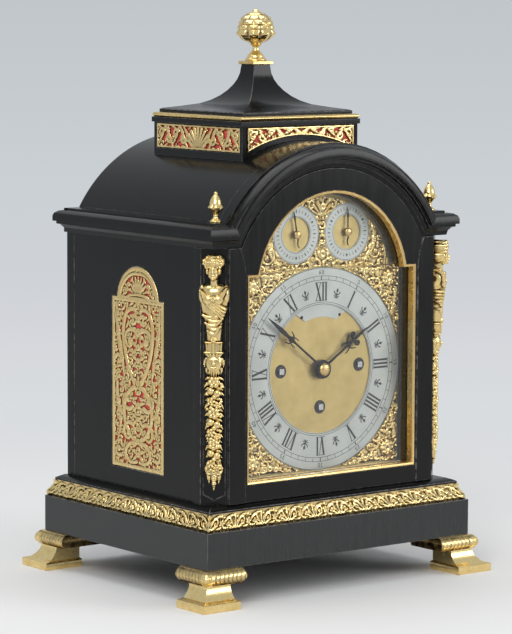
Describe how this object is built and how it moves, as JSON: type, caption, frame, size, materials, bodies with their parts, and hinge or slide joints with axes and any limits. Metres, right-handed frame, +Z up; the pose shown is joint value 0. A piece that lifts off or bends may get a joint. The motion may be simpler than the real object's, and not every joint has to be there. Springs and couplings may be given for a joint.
{
  "type": "bracket clock",
  "caption": "Ebonised bracket clock with gilt mounts: vaulted case, cupola, glazed doors, brass break-arch dial and fusee movement.",
  "frame": {"origin": "on the floor, under the middle of the four feet", "axes": "+Z up, the dial faces -Y, +X to the right of someone facing the dial"},
  "size_m": [0.3906, 0.332, 0.6074],
  "materials": {
    "ebonised_wood": "polished",
    "gilt_brass": "cast and gilt",
    "glass": "clear",
    "dial_brass": "satin",
    "silvered": "silvered, satin",
    "blued_steel": "blued",
    "seat_wood": "plain",
    "bell_metal": "turned",
    "red_silk": "woven"
  },
  "bodies": {
    "case": {"plinth_frame": "ebonised_wood", "foot_front_left": "gilt_brass", "foot_front_right": "gilt_brass", "foot_back_left": "gilt_brass", "foot_back_right": "gilt_brass", "base_board": "ebonised_wood", "gilt_base_moulding": "gilt_brass", "post_left": "ebonised_wood", "post_right": "ebonised_wood", "side_panel_left": "ebonised_wood", "side_panel_right": "ebonised_wood", "back_frame": "ebonised_wood", "dial_mask": "ebonised_wood", "cornice_left": "ebonised_wood", "cornice_right": "ebonised_wood", "cornice_back": "ebonised_wood", "arch_moulding": "ebonised_wood", "vault": "ebonised_wood", "cupola_box": "ebonised_wood", "cupola_rim": "gilt_brass", "cupola_cap": "ebonised_wood", "top_finial": "gilt_brass", "corner_finial_left": "gilt_brass", "corner_finial_right": "gilt_brass", "side_fret_left": "gilt_brass", "side_fret_right": "gilt_brass", "cupola_fret_front": "gilt_brass", "cupola_fret_left": "gilt_brass", "cupola_fret_right": "gilt_brass", "term_left": "gilt_brass", "term_right": "gilt_brass", "dial_plate": "dial_brass", "chapter_ring": "silvered", "spandrel_upper_left": "gilt_brass", "spandrel_upper_right": "gilt_brass", "spandrel_lower_left": "gilt_brass", "spandrel_lower_right": "gilt_brass", "arch_mount": "gilt_brass", "name_plate": "silvered", "sub_ring_left": "silvered", "sub_ring_right": "silvered", "movement_frame": "dial_brass", "seat_board": "seat_wood", "bell_nest": "bell_metal"},
    "front_door_body": {"front_door": "ebonised_wood", "front_door_bezel": "gilt_brass", "front_door_glass": "glass"},
    "back_door_body": {"back_door": "ebonised_wood", "back_door_glass": "glass"},
    "minute_hand_body": {"centre_arbor": "dial_brass", "minute_hand": "blued_steel"},
    "minute_wheel_body": {"minute_wheel": "dial_brass"},
    "hour_hand_body": {"hour_wheel": "dial_brass", "hour_hand": "blued_steel"},
    "strike_winding": {"fusee_strike": "dial_brass"},
    "chime_winding": {"fusee_chime": "dial_brass"},
    "going_winding": {"fusee_going": "dial_brass"},
    "left_sub_hand_body": {"sub_hand_left": "blued_steel"},
    "right_sub_hand_body": {"sub_hand_right": "blued_steel"},
    "pendulum_body": {"pendulum": "dial_brass"}
  },
  "joints": [
    {"name": "front_door_hinge", "type": "hinge", "parent": "case", "child": "front_door_body", "pos_m": [0.1378, -0.1317, 0.23], "axis": [0, 0, 1], "range_deg": [0, 95]},
    {"name": "back_door_hinge", "type": "hinge", "parent": "case", "child": "back_door_body", "pos_m": [0.1038, 0.136, 0.23], "axis": [0, 0, -1], "range_deg": [0, 100]},
    {"name": "minute_hand_turn", "type": "hinge", "parent": "case", "child": "minute_hand_body", "pos_m": [0, -0.1, 0.23], "axis": [0, 1, 0], "continuous": true},
    {"name": "minute_wheel_turn", "type": "hinge", "parent": "case", "child": "minute_wheel_body", "pos_m": [-0.01697, -0.09, 0.24697], "axis": [0, 1, 0], "continuous": true},
    {"name": "hour_hand_turn", "type": "hinge", "parent": "case", "child": "hour_hand_body", "pos_m": [0, -0.1, 0.23], "axis": [0, 1, 0], "continuous": true},
    {"name": "strike_winding_turn", "type": "hinge", "parent": "case", "child": "strike_winding", "pos_m": [-0.053, -0.1, 0.231], "axis": [0, -1, 0], "continuous": true},
    {"name": "chime_winding_turn", "type": "hinge", "parent": "case", "child": "chime_winding", "pos_m": [0.053, -0.1, 0.231], "axis": [0, -1, 0], "continuous": true},
    {"name": "going_winding_turn", "type": "hinge", "parent": "case", "child": "going_winding", "pos_m": [0, -0.1, 0.1895], "axis": [0, -1, 0], "continuous": true},
    {"name": "left_sub_hand_turn", "type": "hinge", "parent": "case", "child": "left_sub_hand_body", "pos_m": [-0.0343, -0.11, 0.37368], "axis": [0, 1, 0], "continuous": true},
    {"name": "right_sub_hand_turn", "type": "hinge", "parent": "case", "child": "right_sub_hand_body", "pos_m": [0.0343, -0.11, 0.37368], "axis": [0, 1, 0], "continuous": true},
    {"name": "pendulum_swing", "type": "hinge", "parent": "case", "child": "pendulum_body", "pos_m": [0, 0.0065, 0.318], "axis": [0, 1, 0], "range_deg": [-4, 4]}
  ],
  "couplings": [
    {"joint": "minute_wheel_turn", "follows": "minute_hand_turn", "ratio": -0.33333},
    {"joint": "hour_hand_turn", "follows": "minute_hand_turn", "ratio": 0.083333}
  ]
}
